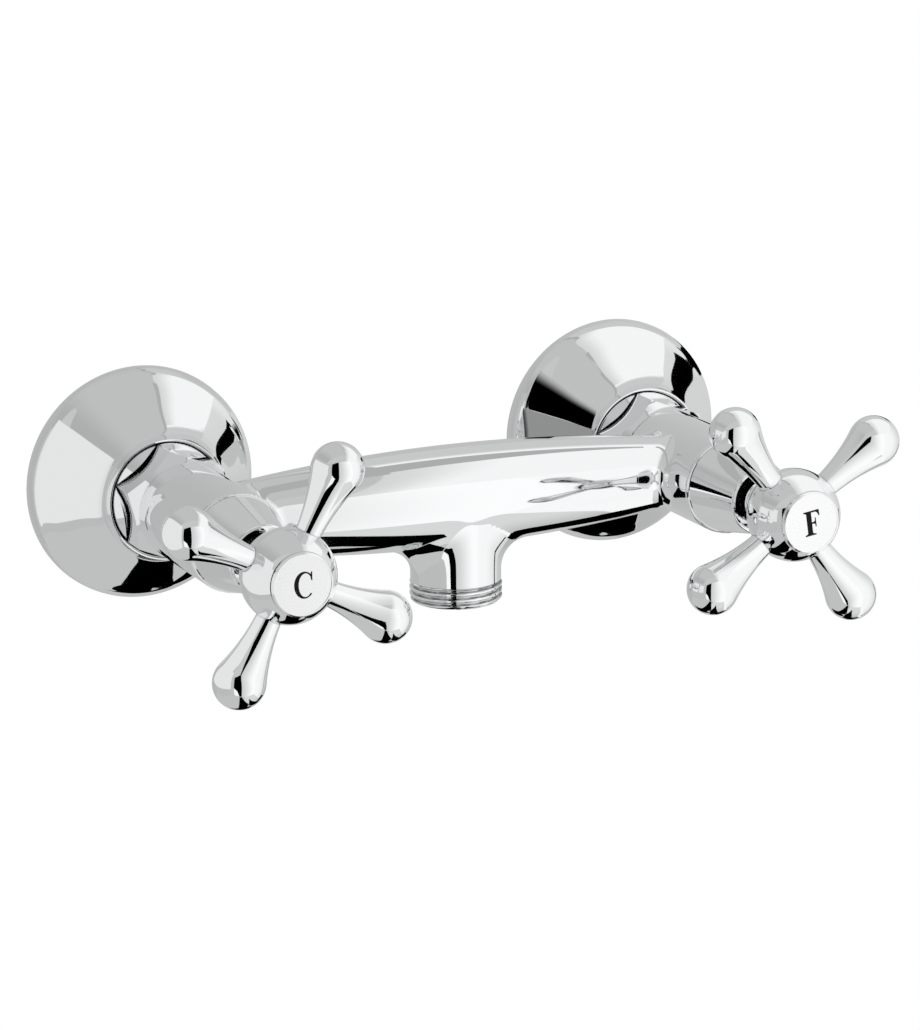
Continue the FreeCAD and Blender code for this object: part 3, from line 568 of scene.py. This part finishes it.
# The bells, spun anew over the drawn ones: the crease inside the rim is filled, and the mouth's floor
# comes up to the nut. The slopes stored with the sheet come from a table. They depart from the sheet's
# own slope by up to 11 degrees on the cone, and by more at the rolled rim and at the neck.

BELL_RADIUS = 34.0 * MM
BELL_NECK_RADIUS = 17.5 * MM
FILL_INNER = 29.0 * MM
FILL_OUTER = 33.5 * MM
MOUTH_FLOOR = 21.9 * MM
MOUTH_LIFT = 2.0 * MM
BELL_ROWS = 130
BELL_LEANS = (  # radius in mm, lean of the stored slope from the bell's axis in degrees
    (17.5, 89.0), (17.9, 84.0), (18.3, 75.0), (18.9, 65.0), (19.6, 57.0), (20.5, 50.5), (21.5, 47.0),
    (23.0, 45.5), (25.0, 45.0), (28.2, 45.0), (29.2, 42.5), (30.0, 39.5), (30.8, 37.0), (31.5, 36.5),
    (31.9, 37.5), (32.2, 48.0), (32.5, 64.0), (33.2, 80.0), (33.8, 88.0), (34.0, 90.0),
)
OUTWARD = 0.08  # a face whose slope leans away from the axis by more than this is on the outside


def turned_sheet(axis_x, radii, outs, leans):
    """A sheet turned round a line that stands off the wall: points, slopes and faces, ring by ring."""
    turns = np.arange(TURN_STEPS) * 2 * math.pi / TURN_STEPS
    radius, turn = np.meshgrid(radii, turns, indexing="ij")
    out = np.meshgrid(outs, turns, indexing="ij")[0]
    lean = np.meshgrid(leans, turns, indexing="ij")[0]
    across, along = np.cos(turn), np.sin(turn)
    points = np.stack([axis_x + radius * across, -out, radius * along], axis=-1)
    slopes = np.stack([np.sin(lean) * across, -np.cos(lean), np.sin(lean) * along], axis=-1)
    faces = []
    for row in range(len(radii) - 1):
        upper, lower = row * TURN_STEPS, (row + 1) * TURN_STEPS
        for k in range(TURN_STEPS):
            after = (k + 1) % TURN_STEPS
            faces.append([upper + k, upper + after, lower + after, lower + k])
    return points.reshape(-1, 3), slopes.reshape(-1, 3), faces


def spun_bell(name):
    """A drawn bell with a new outside."""
    source = nodes[name].data
    low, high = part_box(name)
    axis_x = (low[0] + high[0]) / 2
    points = np.array([v.co for v in source.vertices])
    slopes = np.array([tuple(n.vector) for n in source.corner_normals])
    reach = np.hypot(points[:, 0] - axis_x, points[:, 2])
    skin = np.zeros(len(points), dtype=bool)
    faces, corner_slopes = [], []
    for polygon in source.polygons:
        ring = list(polygon.vertices)
        middle = polygon.center - Vector((axis_x, 0, 0))
        middle.y = 0
        outward = polygon.normal.dot(middle.normalized()) > OUTWARD
        if outward and reach[ring].min() > BELL_NECK_RADIUS - CLOSE:
            skin[ring] = True
        else:
            faces.append(ring)
            corner_slopes.extend(slopes[list(polygon.loop_indices)])

    # the drawn outline, filled at the crease, then the new sheet over it
    order = np.argsort(reach[skin])
    drawn_radius, drawn_out = reach[skin][order], -points[skin][order, 1]
    radii = np.linspace(BELL_RADIUS, drawn_radius[0], BELL_ROWS)
    out = np.interp(radii, drawn_radius, drawn_out)
    ends = np.interp([FILL_INNER, FILL_OUTER], drawn_radius, drawn_out)
    filled = np.interp(radii, [FILL_INNER, FILL_OUTER], ends)
    inside = (radii > FILL_INNER) & (radii < FILL_OUTER)
    out = np.where(inside, np.maximum(out, filled), out)
    leans = np.interp(radii / MM, *zip(*BELL_LEANS))
    out[-1] = drawn_out.max()
    radii, out = np.append(BELL_RADIUS, radii), np.append(0, out)
    leans = np.radians(np.append(90, leans))
    points[np.abs(-points[:, 1] - MOUTH_FLOOR) < CLOSE, 1] -= MOUTH_LIFT
    first = len(points)
    sheet, sheet_slopes, sheet_faces = turned_sheet(axis_x, radii, out, leans)
    for face in sheet_faces:
        faces.append([first + corner for corner in face])
        corner_slopes.extend(sheet_slopes[face])
    return shaped(f"{name}_spun", np.vstack([points, sheet]), faces, corner_slopes)


for side_name in ("hot", "cold"):
    spun = spun_bell(f"{side_name}_escutcheon")
    bell = add_piece(f"{side_name}_escutcheon_spun", spun, "fixed", "chrome")
    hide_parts(f"{side_name}_escutcheon")


# The cone at the foot of each union nut, which closes the bell's mouth around the hexagon.

COLLAR_PROFILE = (  # radius and distance from the wall in mm, lean of the stored slope in degrees
    (16.6, 24.3, 70.0), (16.5, 24.6, 62.0), (15.6, 25.3, 50.0), (14.9, 26.1, 56.0), (14.2, 27.2, 62.0),
)


def collar(side_name):
    low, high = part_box(f"{side_name}_union_nut")
    axis_x = (low[0] + high[0]) / 2
    radii, outs, leans = np.array(COLLAR_PROFILE).T
    points, slopes, faces = turned_sheet(axis_x, radii * MM, outs * MM, np.radians(leans))
    mesh = shaped(f"{side_name}_nut_collar", points, faces, slopes[np.concatenate(faces)])
    add_piece(f"{side_name}_nut_collar", mesh, "fixed", "chrome")


collar("hot")
collar("cold")


# The letters printed in the caps' dishes, drawn in a box one unit tall with its corner at the lower
# left.

def arc(centre, radii, first, last, count):
    """Points on an ellipse, from one angle to another in degrees."""
    turns = np.radians(np.linspace(first, last, count))
    return [(centre[0] + radii[0] * math.cos(t), centre[1] + radii[1] * math.sin(t)) for t in turns]


LETTER_HOT = (
    arc((0.41, 0.5), (0.41, 0.52), 52, 318, 40)
    + arc((0.455, 0.495), (0.275, 0.455), 316, 44, 36)
    + [(0.69, 0.66), (0.73, 0.66), (0.73, 1.0), (0.69, 1.0)]
)
LETTER_COLD = (
    [(0.02, 0.0), (0.5, 0.0), (0.5, 0.045)]
    + arc((0.43, 0.125), (0.07, 0.06), 255, 180, 5)
    + [(0.36, 0.465), (0.42, 0.465)]
    + arc((0.42, 0.365), (0.09, 0.1), 90, 20, 5)
    + [(0.5, 0.33), (0.545, 0.33), (0.545, 0.69), (0.5, 0.69)]
    + arc((0.42, 0.63), (0.09, 0.1), -20, -90, 5)
    + [(0.36, 0.53), (0.36, 0.93), (0.52, 0.93)]
    + arc((0.52, 0.73), (0.15, 0.2), 90, 10, 7)
    + [(0.72, 0.74), (0.71, 1.0), (0.02, 1.0), (0.02, 0.955)]
    + arc((0.07, 0.875), (0.07, 0.06), 75, 0, 5)
    + arc((0.07, 0.125), (0.07, 0.06), 0, -75, 5)
    + [(0.02, 0.045)]
)
LETTER_MIDDLE = 0.5
LETTER_HEIGHT = 7.0 * MM
LETTER_THICK = 0.05 * MM
DISH_DEPTH = 0.15 * MM
HOT_TILT, COLD_TILT = 0.0, 8.0  # degrees


def letter(side, shape, tilt):
    low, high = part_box(f"{side}_index_cap")
    middle = (Vector(low) + Vector(high)) / 2
    width = max(x for x, _ in shape) - min(x for x, _ in shape)
    lean = math.radians(tilt)
    mesh = bmesh.new()
    corners = []
    for x, z in shape:
        across, up = (x - width / 2) * LETTER_HEIGHT, (z - LETTER_MIDDLE) * LETTER_HEIGHT
        corners.append(mesh.verts.new((
            middle.x + across * math.cos(lean) - up * math.sin(lean),
            low[1] + DISH_DEPTH - LETTER_THICK,
            middle.z + across * math.sin(lean) + up * math.cos(lean))))
    face = mesh.faces.new(corners)
    face.normal_update()
    if face.normal.y > 0:
        face.normal_flip()
    walls = bmesh.ops.extrude_face_region(mesh, geom=[face])
    back = [v for v in walls["geom"] if isinstance(v, bmesh.types.BMVert)]
    bmesh.ops.translate(mesh, verts=back, vec=(0, LETTER_THICK, 0))
    bmesh.ops.recalc_face_normals(mesh, faces=mesh.faces)
    bmesh.ops.triangulate(mesh, faces=mesh.faces)
    made = bpy.data.meshes.new(f"{side}_letter")
    mesh.to_mesh(made)
    mesh.free()
    add_piece(f"{side}_letter", made, f"{side}_handle", "letter")


letter("hot", LETTER_HOT, HOT_TILT)
letter("cold", LETTER_COLD, COLD_TILT)


# The studio: white all round, with grey and black boards that the chrome mirrors. Levels are what the
# mirrored board shows, from 0 to 255, and places are in metres.

MIRROR_LOSS = 1.07  # makes up for what the chrome swallows


def glow(name, level, ramp):
    """A board's light. A ramp (axis, start, end, level) leads it over to a second level."""
    material = bpy.data.materials.new(name)
    material.use_nodes = True
    tree = material.node_tree
    tree.nodes.remove(tree.nodes["Principled BSDF"])
    lamp = tree.nodes.new("ShaderNodeEmission")
    lamp.inputs["Strength"].default_value = srgb(level) * MIRROR_LOSS
    if ramp:
        axis, start, end, last_level = ramp
        place = tree.nodes.new("ShaderNodeTexCoord").outputs["Object"]
        parts = tree.nodes.new("ShaderNodeSeparateXYZ")
        lead = tree.nodes.new("ShaderNodeMapRange")
        lead.interpolation_type = "SMOOTHSTEP"
        lead.inputs["From Min"].default_value = start
        lead.inputs["From Max"].default_value = end
        lead.inputs["To Min"].default_value = srgb(level) * MIRROR_LOSS
        lead.inputs["To Max"].default_value = srgb(last_level) * MIRROR_LOSS
        tree.links.new(place, parts.inputs["Vector"])
        tree.links.new(parts.outputs[axis], lead.inputs["Value"])
        tree.links.new(lead.outputs["Result"], lamp.inputs["Strength"])
    tree.links.new(lamp.outputs["Emission"], tree.nodes["Material Output"].inputs["Surface"])
    return material


def board(name, level, corners, ramp=None):
    """A glowing board that only the object's surfaces see."""
    mesh = bpy.data.meshes.new(name)
    mesh.from_pydata(corners, [], [tuple(range(len(corners)))])
    mesh.materials.append(glow(name, level, ramp))
    made = bpy.data.objects.new(name, mesh)
    scene.collection.objects.link(made)
    made.visible_camera = False


def sideways(x, y0, y1, z0, z1):
    return [(x, y0, z0), (x, y1, z0), (x, y1, z1), (x, y0, z1)]


def front(y, x0, x1, z0, z1):
    return [(x0, y, z0), (x1, y, z0), (x1, y, z1), (x0, y, z1)]


def flat(z, x0, x1, y0, y1):
    return [(x0, y0, z), (x1, y0, z), (x1, y1, z), (x0, y1, z)]


def level_shape(z, outline):
    return [(x, y, z) for x, y in outline]


board("back_wall", 180, front(0.33, -2, 2, -2, 2), ("X", -0.2, 0.6, 199))
board("left_wall", 186, sideways(-0.45, -0.33, 0.34, -0.33, 0.5))
board("left_glow", 228, sideways(-0.44, -0.33, -0.2, -0.06, 0.2))
board("left_panel", 228, sideways(-0.15, -0.16, 0.02, -0.04, 0.068), ("Y", -0.01, 0.02, 218))
board("hot_tail_screen", 188, sideways(-0.062, 0.0005, 0.0235, -0.014, 0.014))
board("cold_tail_screen", 188, sideways(0.062, 0.0005, 0.0235, -0.014, 0.014))
board("slit", 0, [
    (-0.14, -0.4, -0.3), (-0.19, -0.3864, -0.3), (-0.235, -0.3741, -0.125),
    (-0.31, -0.3536, -0.06), (-0.31, -0.3536, 0.22), (-0.14, -0.4, 0.27)])
board("slit_side", 188, [
    (-0.31, -0.3536, -0.3), (-0.46, -0.3127, -0.3), (-0.46, -0.3127, 0.3), (-0.31, -0.3536, 0.3)])
board("front_panel", 204, front(-0.41, -0.2, 0.23, -0.32, 0.27), ("X", -0.17, 0.17, 252))
board("bell_flag", 0, sideways(0.045, -0.026, -0.006, 0.0105, 0.028), ("Z", 0.021, 0.028, 180))
board("bell_grey", 143, sideways(0.0445, -0.026, -0.004, -0.02, 0.0105))
board("right_strip", 0, [
    (0.22, -0.012, 0.038), (0.22, 0.2, -0.025), (0.22, 0.2, 0.015), (0.22, -0.012, 0.078)])
board("right_low", 0, sideways(0.221, -0.03, 0.17, -0.5, -0.24))
board("right_line", 0, sideways(0.2205, -0.066, -0.05, -0.24, -0.015))
board("right_grey", 178, sideways(0.222, 0, 0.33, -0.24, 0.036), ("Z", -0.2, 0, 209))
board("right_wall", 208, sideways(0.5, -0.6, 0.34, -0.6, 0.262), ("Y", 0.2, -0.4, 246))
board("ceiling", 190, flat(0.26, -0.45, 0.052, -0.22, 0.33), ("X", -0.15, -0.31, 174))
board("ceiling_front", 196, flat(0.2605, -0.45, 0.052, -0.4, -0.22))
board("ceiling_back", 246, flat(0.2595, 0.056, 0.5, 0.02, 0.33), ("Y", 0.02, 0.075, 199))
board("ceiling_line", 172, flat(0.259, 0.04, 0.056, -0.1, 0.3))
board("ceiling_right", 212, flat(0.261, 0.052, 0.5, -0.4, 0.33), ("X", 0.05, 0.14, 244))
board("table_left", 191, flat(-0.32, -0.45, -0.06, -0.42, 0.33))
board("table_black", 0, flat(-0.319, -0.06, 0.092, 0, 0.22))
board("table_stripe", 0, level_shape(-0.318, [
    (0.035, -0.3), (0.05, -0.27), (0.085, -0.18), (0.165, -0.02), (0.222, -0.02),
    (0.222, 0.16), (0.165, 0.16), (0.086, 0.02), (0.05, -0.05), (0.035, -0.05)]))
board("table_mid", 190, flat(-0.321, -0.06, 0.23, -0.42, 0.33), ("Y", 0, -0.25, 215))
board("table_link", 0, level_shape(-0.3175, [
    (-0.19, -0.385), (-0.135, -0.4), (0.03, -0.12), (0.03, 0.0), (-0.06, 0.0)]))
board("bridge_strip", 172, level_shape(0.05, [
    (-0.055, -0.069), (0.02, -0.064), (0.085, -0.055), (0.085, -0.051), (-0.055, -0.049)]))


FLOOR_HEIGHT = -0.6
FLOOR_REACH = 3
FLOOR_GREY = 0.8
FLOOR_ROUGHNESS = 0.9


def white_floor():
    """A pale floor that the camera and the metal see as the white of the backdrop."""
    mesh = bpy.data.meshes.new("floor")
    corners = flat(FLOOR_HEIGHT, -FLOOR_REACH, FLOOR_REACH, -FLOOR_REACH, FLOOR_REACH)
    mesh.from_pydata(corners, [], [tuple(range(len(corners)))])
    material = bpy.data.materials.new("floor")
    material.use_nodes = True
    tree = material.node_tree
    matt = tree.nodes["Principled BSDF"]
    matt.inputs["Base Color"].default_value = grey(FLOOR_GREY)
    matt.inputs["Roughness"].default_value = FLOOR_ROUGHNESS
    path = tree.nodes.new("ShaderNodeLightPath")
    lamp = tree.nodes.new("ShaderNodeEmission")
    mix = tree.nodes.new("ShaderNodeMixShader")
    seen = path.outputs["Is Camera Ray"]
    for ray in ("Is Glossy Ray", "Is Transmission Ray"):
        add = tree.nodes.new("ShaderNodeMath")
        add.operation = "ADD"
        add.use_clamp = True
        tree.links.new(seen, add.inputs[0])
        tree.links.new(path.outputs[ray], add.inputs[1])
        seen = add.outputs["Value"]
    tree.links.new(seen, mix.inputs["Fac"])
    tree.links.new(matt.outputs["BSDF"], mix.inputs[1])
    tree.links.new(lamp.outputs["Emission"], mix.inputs[2])
    tree.links.new(mix.outputs["Shader"], tree.nodes["Material Output"].inputs["Surface"])
    mesh.materials.append(material)
    made = bpy.data.objects.new("floor", mesh)
    scene.collection.objects.link(made)


white_floor()

world = bpy.data.worlds.new("studio")
world.use_nodes = True
world.node_tree.nodes["Background"].inputs["Color"].default_value = grey(1.0)
world.node_tree.nodes["Background"].inputs["Strength"].default_value = 1.0
scene.world = world
scene.view_settings.view_transform = "Standard"


# The camera as the photo was taken: from the left, above and far away with a long lens.

AZIMUTH, ELEVATION, ROLL = (math.radians(a) for a in (-23.6, 14.09, -0.6))
DISTANCE = 1.22374
TARGET = Vector((0.02557, 0.0, -0.0211))
FOCAL_PIXELS = 4097.42
IMAGE_HEIGHT = 1030  # pixels, the longer side, which the sensor's width covers
SENSOR = 36.0
CLIP_END = 20

back = Vector((
    math.sin(AZIMUTH) * math.cos(ELEVATION), -math.cos(AZIMUTH) * math.cos(ELEVATION), math.sin(ELEVATION)))
lens = bpy.data.cameras.new("camera")
lens.sensor_width = SENSOR
lens.lens = FOCAL_PIXELS / IMAGE_HEIGHT * SENSOR
lens.clip_end = CLIP_END
camera = bpy.data.objects.new("camera", lens)
scene.collection.objects.link(camera)
camera.location = TARGET + back * DISTANCE
level_right = Vector((0, 0, 1)).cross(back).normalized()
level_up = back.cross(level_right)
right = level_right * math.cos(ROLL) + level_up * math.sin(ROLL)
up = level_up * math.cos(ROLL) - level_right * math.sin(ROLL)
camera.rotation_mode = "QUATERNION"
camera.rotation_quaternion = Matrix((right, up, back)).transposed().to_quaternion()
scene.camera = camera
